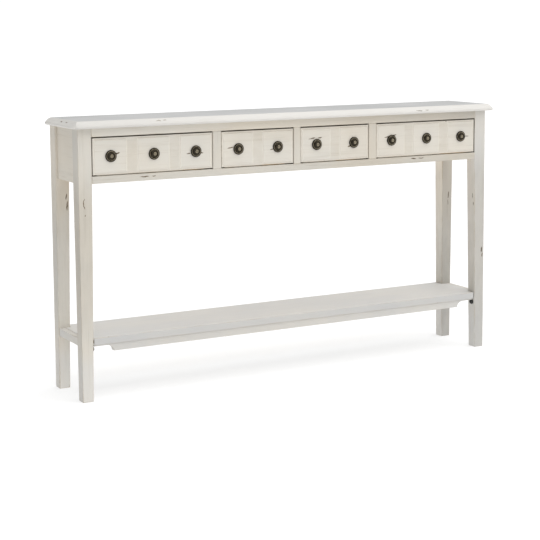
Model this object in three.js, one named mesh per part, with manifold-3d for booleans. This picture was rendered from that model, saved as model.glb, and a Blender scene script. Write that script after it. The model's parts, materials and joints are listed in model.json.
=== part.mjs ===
// Long, narrow console table: four tapered legs, a shallow row of four drawers faced as
// ten small ones, a moulded top and a low shelf. Millimetres, +Z up, front towards -Y.
import * as THREE from 'three';
import { mergeVertices } from 'three/addons/utils/BufferGeometryUtils.js';
import Module from 'manifold-3d';

const wasm = await Module();
wasm.setup();

// Driving dimensions
const HEIGHT = 880;
const LEG_DEPTH = 239; // over the front and rear faces of the legs
const LEG_TOP = 45.3; // square section beside the aprons
const LEG_FOOT = 36; // square section at the floor, tapered on the inner faces
const FOOT_CHAMFER = 2.5;

const TOP_THICKNESS = 23;
const TOP_SIDE_OVERHANG = 20;
const TOP_FRONT_OVERHANG = 26;
const TOP_UNDERCUT = 3; // of the edge moulding under its lip
const TOP_LIP_HEIGHT = 5.5;
const TOP_SHOULDER = [11.5, 19]; // in from the lip, and height, where the slope ends
const TOP_EDGE_INSET = 18.5; // of the flat surface from the lip

const TOP_RAIL = 27.3;
const OPENING_HEIGHT = 121.6;
const BOTTOM_RAIL = 23.1;
const RAIL_THICKNESS = 22;
const APRON_THICKNESS = 18;
const APRON_RECESS = 7; // of the side and rear aprons behind the faces of the legs

const KNOBS_PER_DRAWER = [3, 2, 2, 3];
const PANEL = 110; // width of one raised panel
const BAND = 36; // sunk band between two panels
const BORDER = 5; // sunk border round each drawer front
const PANEL_RISE = 2;
const PANEL_BEVEL = 3;
const DIVIDERS = [29.8, 25.8, 29.8];
const SIDE_GAP = 1.6; // between a drawer front and a divider
const LEG_GAP = 3;
const UPPER_GAP = 4; // over each drawer front
const LOWER_GAP = 3.2;
const OVERLAP = 1; // of two solids that are joined into one
const FIT_GAP = 0.2; // between a shelf rail and a leg
const BOARD_GAP = 0.8; // between the shelf board and its end rails

const FRONT_THICKNESS = 20;
const BOX_WALL = 12;
const BOX_INSET = 6; // of the box sides behind the ends of the front
const BOX_BOTTOM = 6;
const BOX_BOTTOM_RISE = 8;
const BOX_HEIGHT = 94;
const BOX_REAR_CLEARANCE = 25;
const RUN_CLEARANCE = 0.3; // under the drawer sides
const GUIDE_CLEARANCE = 2; // beside the drawer sides
const GUIDE_HEIGHT = 22;
const RUNNER_LEDGE = 18; // bearing beside each guide
const RUNNER_RISE = 5; // of the foot of each runner above the foot of the aprons

const SHELF_TOP = 201;
const SHELF_THICKNESS = 22.5;
const SHELF_SETBACK = 2; // behind the front faces of the legs
const SHELF_CORNER = 4; // rounded corner beside each leg
const SHELF_RAIL_DROP = 0.5; // of the end rails below the top of the board
const SHELF_RAIL_SETBACK = 5; // of the front and rear rails behind the edges of the board
const SHELF_LEG_GAP = 1.5;
const END_RAIL_THICKNESS = 18;
const END_RAIL_HEIGHT = 26;
const SHELF_RAIL_HEIGHT = 25;
const SHELF_RAIL_END = 4.5; // height of the rail where it meets the legs
const SHELF_RAIL_SCOOP = 26; // length of the scoop
const SHELF_RAIL_SHOULDER = 40; // from the end of the rail to its scoop
const SHELF_RAIL_THICKNESS = 20;
const BOLT_RADIUS = 9.5;
const BOLT_PROJECTION = 6.5;
const BOLT_SETBACK = 16.5; // behind the outer faces of the legs
const WASHER = 1.8;

const KNOB_RADIUS = 19.5;
const KNOB_PROJECTION = 11;
const KNOB_BUTTON = 12.3; // radius of its dished button
const KNOB_NECK = 9;

// Places that follow from them
const frontWidth = (knobs) => knobs * PANEL + (knobs - 1) * BAND + 2 * BORDER;
const sum = (list) => list.reduce((total, value) => total + value, 0);
const insideWidth = sum(KNOBS_PER_DRAWER.map(frontWidth)) + sum(DIVIDERS)
  + 2 * DIVIDERS.length * SIDE_GAP + 2 * LEG_GAP;
const halfWidth = insideWidth / 2 + LEG_TOP; // outer faces of the legs
const rearY = (LEG_DEPTH + TOP_FRONT_OVERHANG) / 2;
const frontY = rearY - LEG_DEPTH;
const underTop = HEIGHT - TOP_THICKNESS;
const openingTop = underTop - TOP_RAIL;
const openingBottom = openingTop - OPENING_HEIGHT;
const apronBottom = openingBottom - BOTTOM_RAIL;
const shelfBottom = SHELF_TOP - SHELF_THICKNESS;
const legWidthAt = (z) => LEG_FOOT + (LEG_TOP - LEG_FOOT) * Math.min(z / apronBottom, 1);
const rearApronFront = rearY - APRON_RECESS - APRON_THICKNESS;

const paint = (colour, roughness) => ({ color: colour, roughness, metalness: 0 });
const LOOKS = {
  paintedTop: paint(0xd2d1cb, 0.42),
  paintedFrame: paint(0xdcd8c9, 0.55),
  drawerWood: paint(0xc8ab7e, 0.7),
  bronze: { color: 0x3a2c20, roughness: 0.45, metalness: 0.9 },
  blackSteel: { color: 0x17171a, roughness: 0.5, metalness: 0.6 },
};

const group = new THREE.Group();

function add(name, geometry, look) {
  const material = new THREE.MeshStandardMaterial(LOOKS[look]);
  material.name = look;
  const mesh = new THREE.Mesh(geometry, material);
  mesh.name = name;
  group.add(mesh);
}

function box(x, y, z) {
  const geometry = new THREE.BoxGeometry(x[1] - x[0], y[1] - y[0], z[1] - z[0]);
  return geometry.translate((x[0] + x[1]) / 2, (y[0] + y[1]) / 2, (z[0] + z[1]) / 2);
}

// A closed solid through rings of corners. Each ring runs anticlockwise seen from the last one.
function loft(rings) {
  const sides = rings[0].length;
  const index = [];
  for (let ring = 0; ring < rings.length - 1; ring += 1) {
    for (let side = 0; side < sides; side += 1) {
      const next = (side + 1) % sides;
      const [a, b] = [ring * sides + side, ring * sides + next];
      index.push(a, b, b + sides, a, b + sides, a + sides);
    }
  }
  const last = (rings.length - 1) * sides;
  for (let side = 1; side < sides - 1; side += 1) {
    index.push(0, side + 1, side);
    index.push(last, last + side, last + side + 1);
  }
  const geometry = new THREE.BufferGeometry();
  geometry.setAttribute('position', new THREE.Float32BufferAttribute(rings.flat(2), 3));
  geometry.setIndex(index);
  return geometry;
}

const ringAtZ = (z, x, y) => [[x[0], y[0], z], [x[1], y[0], z], [x[1], y[1], z], [x[0], y[1], z]];
const ringAtY = (y, x, z) => [[x[0], y, z[0]], [x[1], y, z[0]], [x[1], y, z[1]], [x[0], y, z[1]]];

// A flat outline in X and Z, given a thickness from its front face backwards.
function panelFrom(outline, y) {
  const depth = y[1] - y[0];
  const geometry = new THREE.ExtrudeGeometry(outline, { depth, bevelEnabled: false });
  return geometry.rotateX(Math.PI / 2).translate(0, y[1], 0);
}

function toManifold(geometry) {
  const bare = new THREE.BufferGeometry();
  bare.setAttribute('position', geometry.getAttribute('position'));
  bare.setIndex(geometry.getIndex());
  const merged = mergeVertices(bare);
  return new wasm.Manifold(new wasm.Mesh({
    numProp: 3,
    vertProperties: new Float32Array(merged.getAttribute('position').array),
    triVerts: new Uint32Array(merged.getIndex().array),
  }));
}

function fromManifold(solid) {
  const mesh = solid.getMesh();
  const geometry = new THREE.BufferGeometry();
  geometry.setAttribute('position', new THREE.Float32BufferAttribute(mesh.vertProperties, 3));
  geometry.setIndex([...mesh.triVerts]);
  return geometry;
}

// Top: a board through one ring for each point of its edge moulding. The moulding runs from
// the undercut round a low lip, up a slope and over a soft shoulder, as [inset, height].
function makeTop() {
  const edge = new THREE.Path();
  edge.moveTo(TOP_UNDERCUT, 0);
  edge.quadraticCurveTo(0, 0, 0, TOP_LIP_HEIGHT);
  edge.quadraticCurveTo(1.5, 11, ...TOP_SHOULDER);
  edge.quadraticCurveTo(14.5, 22.6, TOP_EDGE_INSET, TOP_THICKNESS);
  const halfTop = halfWidth + TOP_SIDE_OVERHANG;
  const rings = edge.getPoints(4).map(({ x: inset, y: rise }) => ringAtZ(
    underTop + rise,
    [inset - halfTop, halfTop - inset],
    [inset - rearY, rearY - inset],
  ));
  add('table_top', loft(rings), 'paintedTop');
}

// Legs: outer faces upright, inner faces tapered below the aprons.
function makeLegs() {
  const sections = [
    [0, LEG_FOOT, FOOT_CHAMFER],
    [FOOT_CHAMFER, LEG_FOOT, 0],
    [apronBottom, LEG_TOP, 0],
    [underTop, LEG_TOP, 0],
  ];
  for (const [xName, xSide] of [['left', -1], ['right', 1]]) {
    for (const [yName, ySide, yOuter] of [['front', -1, frontY], ['rear', 1, rearY]]) {
      const rings = sections.map(([z, width, chamfer]) => {
        const outerX = xSide * (halfWidth - chamfer);
        const innerX = xSide * (halfWidth - width + chamfer);
        const outerY = yOuter - ySide * chamfer;
        const innerY = yOuter - ySide * (width - chamfer);
        return ringAtZ(
          z,
          [Math.min(outerX, innerX), Math.max(outerX, innerX)],
          [Math.min(outerY, innerY), Math.max(outerY, innerY)],
        );
      });
      add(`leg_${yName}_${xName}`, loft(rings), 'paintedFrame');
    }
  }
}

// Front rails, side aprons and rear apron.
function makeAprons() {
  const inside = [-insideWidth / 2, insideWidth / 2];
  const rail = [frontY, frontY + RAIL_THICKNESS];
  add('front_top_rail', box(inside, rail, [openingTop, underTop]), 'paintedFrame');
  add('front_bottom_rail', box(inside, rail, [apronBottom, openingBottom]), 'paintedFrame');
  const apronZ = [apronBottom, underTop];
  const rearApron = [rearApronFront, rearApronFront + APRON_THICKNESS];
  add('apron_rear', box(inside, rearApron, apronZ), 'paintedFrame');
  const outer = halfWidth - APRON_RECESS;
  const between = [frontY + LEG_TOP, rearY - LEG_TOP];
  add('apron_left', box([-outer, APRON_THICKNESS - outer], between, apronZ), 'paintedFrame');
  add('apron_right', box([outer - APRON_THICKNESS, outer], between, apronZ), 'paintedFrame');
}

// Ends in X of each drawer front, and the middle of each divider.
function layOutDrawers() {
  const fronts = [];
  const dividers = [];
  let x = LEG_GAP - insideWidth / 2;
  KNOBS_PER_DRAWER.forEach((knobs, i) => {
    fronts.push([x, x + frontWidth(knobs)]);
    x += frontWidth(knobs) + SIDE_GAP;
    if (i < DIVIDERS.length) {
      dividers.push({ middle: x + DIVIDERS[i] / 2, width: DIVIDERS[i] });
      x += DIVIDERS[i] + SIDE_GAP;
    }
  });
  return { fronts, dividers };
}

// Dividers between the openings, and the runners that carry and guide the drawers.
function makeRunners({ fronts, dividers }) {
  const names = ['left', 'middle', 'right'];
  const bearing = openingBottom + LOWER_GAP;
  const y = [frontY + RAIL_THICKNESS, rearApronFront];
  const baseZ = [apronBottom + RUNNER_RISE, bearing];
  const guideZ = [bearing - OVERLAP, bearing + GUIDE_HEIGHT];
  const runner = (name, base, guide) => {
    const solid = toManifold(box(base, y, baseZ)).add(toManifold(box(guide, y, guideZ)));
    add(name, fromManifold(solid), 'drawerWood');
  };
  dividers.forEach(({ middle, width }, i) => {
    const rail = [frontY, frontY + RAIL_THICKNESS];
    const half = width / 2;
    const z = [openingBottom, openingTop];
    add(`divider_${names[i]}`, box([middle - half, middle + half], rail, z), 'paintedFrame');
    const guide = half + SIDE_GAP + BOX_INSET - GUIDE_CLEARANCE;
    const base = guide + RUNNER_LEDGE;
    runner(`runner_${names[i]}`, [middle - base, middle + base], [middle - guide, middle + guide]);
  });
  const endGuide = insideWidth / 2 - LEG_GAP - BOX_INSET + GUIDE_CLEARANCE;
  const endBase = endGuide - RUNNER_LEDGE;
  const outer = insideWidth / 2;
  runner('runner_end_left', [-outer, -endBase], [-outer, -endGuide]);
  runner('runner_end_right', [endBase, outer], [endGuide, outer]);
}

// Knob: a back plate with a rolled rim, and a dished button with a boss on a short neck.
function makeKnob() {
  const [r, h] = [KNOB_RADIUS, KNOB_PROJECTION];
  const profile = new THREE.Path();
  profile.moveTo(0, 0);
  profile.lineTo(r - 1, 0);
  profile.quadraticCurveTo(r + 0.6, 3.2, r * 0.86, 4);
  profile.quadraticCurveTo(r * 0.72, 2.6, KNOB_NECK, 3.4);
  profile.lineTo(KNOB_NECK, 5);
  profile.quadraticCurveTo(KNOB_BUTTON, 6, KNOB_BUTTON, 8);
  profile.quadraticCurveTo(KNOB_BUTTON, h - 1, KNOB_BUTTON - 2, h - 1);
  profile.quadraticCurveTo(r * 0.3, h - 3, r * 0.27, h - 1.4);
  profile.quadraticCurveTo(r * 0.2, h, 0, h);
  return new THREE.LatheGeometry(profile.getPoints(3), 24);
}

function makeDrawer(number, [left, right], knobs) {
  const name = `drawer_${number}`;
  const bottom = openingBottom + LOWER_GAP;
  const top = openingTop - UPPER_GAP;
  const back = frontY + FRONT_THICKNESS;
  let front = toManifold(box([left, right], [frontY + PANEL_RISE, back], [bottom, top]));
  const middles = [];
  for (let i = 0; i < knobs; i += 1) {
    const panelLeft = left + BORDER + i * (PANEL + BAND);
    const ring = (y, inset) => ringAtY(
      y,
      [panelLeft + inset, panelLeft + PANEL - inset],
      [bottom + BORDER + inset, top - BORDER - inset],
    );
    const sunk = frontY + PANEL_RISE;
    const panel = loft([ring(sunk + OVERLAP, 0), ring(sunk, 0), ring(frontY, PANEL_BEVEL)]);
    front = front.add(toManifold(panel));
    middles.push(panelLeft + PANEL / 2);
  }
  add(`${name}_front`, fromManifold(front), 'paintedFrame');

  const outer = [left + BOX_INSET, right - BOX_INSET];
  const inner = [outer[0] + BOX_WALL, outer[1] - BOX_WALL];
  const boxBottom = bottom + RUN_CLEARANCE;
  const boxRear = rearApronFront - BOX_REAR_CLEARANCE;
  const sideZ = [boxBottom, boxBottom + BOX_HEIGHT];
  const boardZ = [boxBottom + BOX_BOTTOM_RISE, boxBottom + BOX_BOTTOM_RISE + BOX_BOTTOM];
  add(`${name}_side_left`, box([outer[0], inner[0]], [back, boxRear], sideZ), 'drawerWood');
  add(`${name}_side_right`, box([inner[1], outer[1]], [back, boxRear], sideZ), 'drawerWood');
  add(`${name}_bottom`, box(inner, [back, boxRear], boardZ), 'drawerWood');
  add(`${name}_back`, box(inner, [boxRear - BOX_WALL, boxRear], [boardZ[1], sideZ[1]]), 'drawerWood');

  middles.forEach((x, i) => {
    const knob = makeKnob().rotateX(Math.PI).translate(x, frontY, (bottom + top) / 2);
    add(`${name}_knob_${i + 1}`, knob, 'bronze');
  });
}

// Shelf: a board notched round the legs, end rails beside it and shaped rails under its edges.
function makeShelf() {
  const legThere = legWidthAt(SHELF_TOP);
  const notchX = halfWidth - legThere - SHELF_LEG_GAP;
  const railZ = [SHELF_TOP - END_RAIL_HEIGHT, SHELF_TOP - SHELF_RAIL_DROP];
  const endOuter = halfWidth - SHELF_SETBACK;
  const endInner = endOuter - END_RAIL_THICKNESS;
  const endY = [frontY + legThere + FIT_GAP, rearY - legThere - FIT_GAP];
  add('shelf_rail_left', box([-endOuter, -endInner], endY, railZ), 'paintedFrame');
  add('shelf_rail_right', box([endInner, endOuter], endY, railZ), 'paintedFrame');

  const boardX = endInner - BOARD_GAP;
  const notchY = [endY[0] + BOARD_GAP, endY[1] - BOARD_GAP];
  const edgeY = [frontY + SHELF_SETBACK, rearY - SHELF_SETBACK];
  const r = SHELF_CORNER;
  const outline = new THREE.Shape();
  outline.moveTo(-notchX + r, edgeY[0]);
  outline.lineTo(notchX - r, edgeY[0]);
  outline.absarc(notchX - r, edgeY[0] + r, r, -Math.PI / 2, 0, false);
  outline.lineTo(notchX, notchY[0]);
  outline.lineTo(boardX, notchY[0]);
  outline.lineTo(boardX, notchY[1]);
  outline.lineTo(notchX, notchY[1]);
  outline.absarc(notchX - r, edgeY[1] - r, r, 0, Math.PI / 2, false);
  outline.absarc(r - notchX, edgeY[1] - r, r, Math.PI / 2, Math.PI, false);
  outline.lineTo(-notchX, notchY[1]);
  outline.lineTo(-boardX, notchY[1]);
  outline.lineTo(-boardX, notchY[0]);
  outline.lineTo(-notchX, notchY[0]);
  outline.absarc(r - notchX, edgeY[0] + r, r, Math.PI, 1.5 * Math.PI, false);
  const extrusion = { depth: SHELF_THICKNESS, bevelEnabled: false, curveSegments: 5 };
  const board = new THREE.ExtrudeGeometry(outline, extrusion).translate(0, 0, shelfBottom);
  add('shelf_board', board, 'paintedFrame');

  // Rails under the front and rear edges, scooped up to a thin strip near the legs.
  const end = notchX - r;
  const top = shelfBottom;
  const strip = top - SHELF_RAIL_END;
  const low = top - SHELF_RAIL_HEIGHT;
  const rise = strip - low;
  const shoulder = end - SHELF_RAIL_SHOULDER;
  const railOutline = new THREE.Shape();
  railOutline.moveTo(-end, top);
  railOutline.lineTo(-end, strip);
  railOutline.lineTo(-shoulder, strip);
  railOutline.absellipse(-shoulder, low, SHELF_RAIL_SCOOP, rise, Math.PI / 2, 0, true);
  railOutline.lineTo(shoulder - SHELF_RAIL_SCOOP, low);
  railOutline.absellipse(shoulder, low, SHELF_RAIL_SCOOP, rise, Math.PI, Math.PI / 2, true);
  railOutline.lineTo(end, strip);
  railOutline.lineTo(end, top);
  const railFront = edgeY[0] + SHELF_RAIL_SETBACK;
  const railRear = edgeY[1] - SHELF_RAIL_SETBACK;
  const frontRail = panelFrom(railOutline, [railFront, railFront + SHELF_RAIL_THICKNESS]);
  const rearRail = panelFrom(railOutline, [railRear - SHELF_RAIL_THICKNESS, railRear]);
  add('shelf_rail_front', frontRail, 'paintedFrame');
  add('shelf_rail_rear', rearRail, 'paintedFrame');
  makeBolts(strip);
}

// Bolts in the inner faces of the legs, below the corners of the shelf: a washer, then the
// flat side and the dome of the head.
function makeBolts(strip) {
  const boltZ = strip + OVERLAP - BOLT_RADIUS;
  const legThere = legWidthAt(boltZ + BOLT_RADIUS);
  const legFace = halfWidth - legThere - FIT_GAP / 2;
  const [r, p] = [BOLT_RADIUS, BOLT_PROJECTION];
  const head = 0.8 * r;
  const profile = new THREE.Path();
  profile.moveTo(0, 0);
  profile.lineTo(r, 0);
  profile.lineTo(r, WASHER);
  profile.lineTo(head, WASHER);
  profile.lineTo(head, 0.7 * p);
  profile.quadraticCurveTo(head, p, 0, p);
  const points = profile.getPoints(4);
  for (const [xName, xSide] of [['left', -1], ['right', 1]]) {
    for (const [yName, y] of [['front', frontY + BOLT_SETBACK], ['rear', rearY - BOLT_SETBACK]]) {
      const bolt = new THREE.LatheGeometry(points, 20).rotateZ(xSide * Math.PI / 2);
      add(`shelf_bolt_${yName}_${xName}`, bolt.translate(xSide * legFace, y, boltZ), 'blackSteel');
    }
  }
}

const layout = layOutDrawers();
makeTop();
makeLegs();
makeAprons();
makeRunners(layout);
makeShelf();
layout.fronts.forEach((ends, i) => makeDrawer(i + 1, ends, KNOBS_PER_DRAWER[i]));

export default group;
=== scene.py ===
"""The looks of a long, narrow console table: distressed cream paint with light and shade painted into its
tones, a greyer satin top whose grey is partly painted shade, antique bronze knobs and bare pine drawer boxes.
Metres, +Z up, front towards -Y."""
import json
import math

import bmesh
import bpy
from mathutils import Matrix, Vector, noise


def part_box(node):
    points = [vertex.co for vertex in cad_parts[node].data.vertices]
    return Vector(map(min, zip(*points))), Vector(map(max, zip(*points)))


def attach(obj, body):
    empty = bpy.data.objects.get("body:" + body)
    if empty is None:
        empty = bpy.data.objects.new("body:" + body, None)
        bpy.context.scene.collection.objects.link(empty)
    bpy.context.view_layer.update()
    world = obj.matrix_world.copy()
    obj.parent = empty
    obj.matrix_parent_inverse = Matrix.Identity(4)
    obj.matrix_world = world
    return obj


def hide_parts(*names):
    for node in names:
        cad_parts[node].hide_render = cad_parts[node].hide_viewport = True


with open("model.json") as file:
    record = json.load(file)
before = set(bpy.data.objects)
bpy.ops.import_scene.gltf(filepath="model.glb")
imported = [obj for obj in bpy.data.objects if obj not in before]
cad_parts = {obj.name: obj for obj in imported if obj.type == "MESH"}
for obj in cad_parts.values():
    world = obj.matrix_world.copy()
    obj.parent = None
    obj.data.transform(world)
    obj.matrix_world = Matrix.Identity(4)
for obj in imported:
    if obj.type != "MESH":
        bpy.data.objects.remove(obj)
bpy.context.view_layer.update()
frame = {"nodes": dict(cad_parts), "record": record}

MM = 0.001

# ---------------------------------------------------------------- driving values

ARRIS = 1.3 * MM          # rounding of a painted wooden edge
LEG_ARRIS = 1.8 * MM
RAIL_ARRIS = 0.9 * MM     # of the scooped shelf rails
PINE_ARRIS = 0.8 * MM     # of the bare pine boards
SKIRT = 4 * MM            # width of the strip beside an edge, over which its wear fades
RAIL_SKIRT = 1 * MM
SHELF_SKIRT = 1.6 * MM    # of the shelf board, less than its corners leave room for
SKIRT_SHARE = 0.2         # a skirt is never wider than this share of a board's section
ARC_STEPS = 3             # steps round each edge
WAVE_STEP = 30 * MM       # between two places where the rounding of an edge may change
WAVE_RATE = 22            # how quickly the rounding changes along an edge
WAVE_AMOUNT = 0.55        # and by which share
MITRE_LIMIT = 0.4         # keeps the inset of a sharp corner short
BORDER = 5 * MM           # sunk border round each drawer front
BAND = 36 * MM            # sunk band between two raised panels
PANEL_BEVEL = 3 * MM      # width of the slope round a raised panel
PANEL_RISE = 2 * MM
FRONT_RIM = 1 * MM        # rounding of the rim of a drawer front
BAND_GLAZE_AND_SHADE = 0.19         # how much glaze and painted shade the sunk borders and bands hold
TOP_CORNER = 12 * MM      # plan rounding of the lip of the top at its corners
TOP_INNER_CORNER = 2.5 * MM
TOP_UNDERCUT = 3 * MM     # of the edge moulding under its lip
TOP_LIP = 5.5 * MM
TOP_SHOULDER = (11.5 * MM, 19 * MM)  # in from the lip, and height, where the slope ends
TOP_SLOPE_PULL = (1.5 * MM, 11 * MM)  # the point that bends the slope
TOP_FLAT = 18.5 * MM      # in from the lip, where the flat surface begins
TOP_CROWN_PULL = (14.5 * MM, 22.6 * MM)  # the point that bends the crown beside the flat surface
RAIL_STRIP = 4.5 * MM     # height of a shelf rail where it meets the legs
RAIL_SCOOP = 26 * MM      # length of the scoop
RAIL_SHOULDER = 40 * MM   # from the end of the rail to its scoop
SHELF_LEG_GAP = 1.5 * MM  # beside the legs
SHELF_NOTCH_GAP = 1 * MM  # behind the front legs and before the rear ones
SHELF_CORNER = 4 * MM
LEG_FOOT = 36 * MM        # width of a leg at its foot
CHIP_WANDER = 5 * MM      # range over which the edge of a chip wanders
GAP_CREAM = 1 * MM        # how deep the frame's openings are cream before the brown stain that also paints the shade in the gaps
DIVIDER_CREAM = 6 * MM    # the same on the dividers
STAIN_AND_SHADE_FADE = 1.5 * MM
OPENING_FADE = 0.5 * MM   # of the stain and painted shade at the sides of the openings
FOOT_FADE = 90 * MM       # below here the legs' cream turns greyer
FOOT_SOFT = 80 * MM       # over this height
FOOT_GREY = 0.6           # by this share

record = frame["record"]
node_body = {n: body for body, nodes in record["behaviour"]["bodies"].items() for n in nodes}
node_slot = {part["node"]: part["material_slot"] for part in record["subparts"]}

leg_low, leg_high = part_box("leg_front_left")
FRONT = leg_low.y                      # front faces of legs, rails and drawer panels
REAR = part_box("leg_rear_right")[1].y
HALF_WIDTH = -leg_low.x
LEG_TOP = leg_high.x - leg_low.x       # width of a leg at its top
APRON_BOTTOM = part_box("apron_left")[0].z
OPENING = (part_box("front_bottom_rail")[1].z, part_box("front_top_rail")[0].z)


# ---------------------------------------------------------------- materials

class Shader:
    """A Principled material, and short calls that add nodes to it."""

    def __init__(self, name):
        self.material = bpy.data.materials.new(name)
        self.material.use_nodes = True
        self.tree = self.material.node_tree
        self.skin = self.tree.nodes["Principled BSDF"]
        self.coordinates = self.add("TexCoord")
        self.place = self.coordinates.outputs["Object"]

    def add(self, kind, values=None, **settings):
        node = self.tree.nodes.new("ShaderNode" + kind)
        for key, value in settings.items():
            setattr(node, key, value)
        for key, value in (values or {}).items():
            self.set(node.inputs[key], value)
        return node

    def set(self, socket, value):
        if isinstance(value, bpy.types.NodeSocket):
            self.tree.links.new(value, socket)
        else:
            socket.default_value = value

    def math(self, operation, first, second=0.0):
        node = self.add("Math", {0: first, 1: second}, operation=operation, use_clamp=True)
        return node.outputs[0]

    def vector(self, operation, first, second):
        node = self.add("VectorMath", {0: first}, operation=operation)
        self.set(node.inputs[1], second)
        return node.outputs[0]

    def noise(self, scale, detail=4.0, stretch=(1, 1, 1), roughness=0.55, shift=(0, 0, 0)):
        place = self.add("Mapping", {"Vector": self.place, "Scale": stretch, "Location": shift})
        values = {"Vector": place.outputs[0], "Scale": scale, "Detail": detail, "Roughness": roughness}
        return self.add("TexNoise", values).outputs["Fac"]

    def ramp(self, value, low, high, out_low=0.0, out_high=1.0):
        """Goes smoothly from out_low to out_high while the value goes from low to high."""
        values = {"Value": value, "From Min": low, "From Max": high, "To Min": out_low, "To Max": out_high}
        return self.add("MapRange", values, interpolation_type="SMOOTHSTEP").outputs[0]

    def mix(self, share, first, second, blend="MIX"):
        node = self.add("Mix", {0: share}, data_type="RGBA", blend_type=blend)
        self.set(node.inputs[6], first)
        self.set(node.inputs[7], second)
        return node.outputs[2]

    def along(self, axis, stops):
        """A grey that follows stops, (place in metres, grey), along an axis."""
        place = self.add("SeparateXYZ", {0: self.place}).outputs[axis]
        low, high = stops[0][0], stops[-1][0]
        share = self.add("MapRange", {"Value": place, "From Min": low, "From Max": high}).outputs[0]
        node = self.add("ValToRGB", {0: share})
        greys = node.color_ramp.elements
        for index, (where, grey) in enumerate(stops):
            if 0 < index < len(stops) - 1:
                element = greys.new((where - low) / (high - low))
            else:
                element = greys[0] if index == 0 else greys[-1]
            element.color = (grey, grey, grey, 1.0)
        return node.outputs["Color"]

    def between(self, axis, low, high, soft):
        """1 between two places on an axis, falling to 0 over a short distance outside them."""
        place = self.add("SeparateXYZ", {0: self.place}).outputs[axis]
        return self.math("MULTIPLY", self.ramp(place, low - soft, low), self.ramp(place, high + soft, high))

    def facing(self, axis, sign, gain):
        """The gain on faces that look along an axis, and 1 on the others."""
        normal = self.add("SeparateXYZ", {0: self.coordinates.outputs["Normal"]}).outputs[axis]
        return self.ramp(normal, 0.5 * sign, 0.8 * sign, 1.0, gain)

    def attribute(self, name):
        return self.add("Attribute", attribute_name=name).outputs["Fac"]

    def bump(self, height, strength, distance):
        values = {"Height": height, "Strength": strength, "Distance": distance}
        self.set(self.skin.inputs["Normal"], self.add("Bump", values).outputs[0])

    def finish(self, **inputs):
        for key, value in inputs.items():
            self.set(self.skin.inputs[key.replace("_", " ")], value)
        return self.material


def srgb(red, green, blue):
    """A colour written as it looks on screen, from 0 to 255, as the shader wants it."""
    linear = [((v / 255 + 0.055) / 1.055) ** 2.4 for v in (red, green, blue)]
    return (*linear, 1.0)


CREAM = srgb(219, 211, 197)
CREAM_WARM = srgb(212, 201, 183)
CREAM_COOL = srgb(214, 209, 199)
NEUTRAL = srgb(213, 211, 207)
NEUTRAL_COOL = srgb(208, 207, 205)
# painted highlight on the drawer fronts' borders and bevels
HIGHLIGHT_CREAM = srgb(227, 221, 210)
GLAZE = srgb(162, 148, 124)
UNDERCOAT = srgb(186, 174, 152)
BARE_BROWN = srgb(80, 66, 49)
# brown stain in the drawer openings, which also paints the shade in the gaps
GAP_STAIN_AND_SHADE = srgb(100, 92, 79)
EDGE_STAIN_AND_SHADE = srgb(140, 118, 86)
CHIP_BROWN = srgb(112, 97, 77)
CHIP_GREY = srgb(136, 128, 118)
CHIP_PALE = srgb(168, 160, 149)
# grey of the flat top, darker than the moulding's paint partly as painted shade
TOP_SHADED_GREY = srgb(176, 176, 175)
TOP_SHADED_PALE = srgb(188, 187, 186)
TOP_STREAK = srgb(165, 164, 161)
MOULDING = srgb(213, 210, 205)


def stretched(axis, along, across):
    """A texture stretch that makes long streaks along an axis, for scales given per metre."""
    return tuple(along if name == axis else across for name in "XYZ")


def chip_mask(shader, chips):
    """1 inside each chip in the paint, with ragged edges. A chip is (centre, half sizes, turn)."""
    wobble = shader.add("TexNoise", {"Vector": shader.place, "Scale": 130.0, "Detail": 3.0})
    centred = shader.vector("SUBTRACT", wobble.outputs["Color"], (0.5, 0.5, 0.5))
    shift = shader.vector("MULTIPLY", centred, (CHIP_WANDER, CHIP_WANDER, CHIP_WANDER))
    place = shader.vector("ADD", shader.place, shift)
    total = None
    for centre, size, turn in chips:
        local = shader.add("Mapping", {"Vector": place}, vector_type="TEXTURE")
        local.inputs["Location"].default_value = centre
        local.inputs["Rotation"].default_value = turn
        local.inputs["Scale"].default_value = size
        distance = shader.add("VectorMath", {0: local.outputs[0]}, operation="LENGTH").outputs["Value"]
        inside = shader.ramp(distance, 1.0, 0.72)
        total = inside if total is None else shader.math("MAXIMUM", total, inside)
    return total


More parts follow.
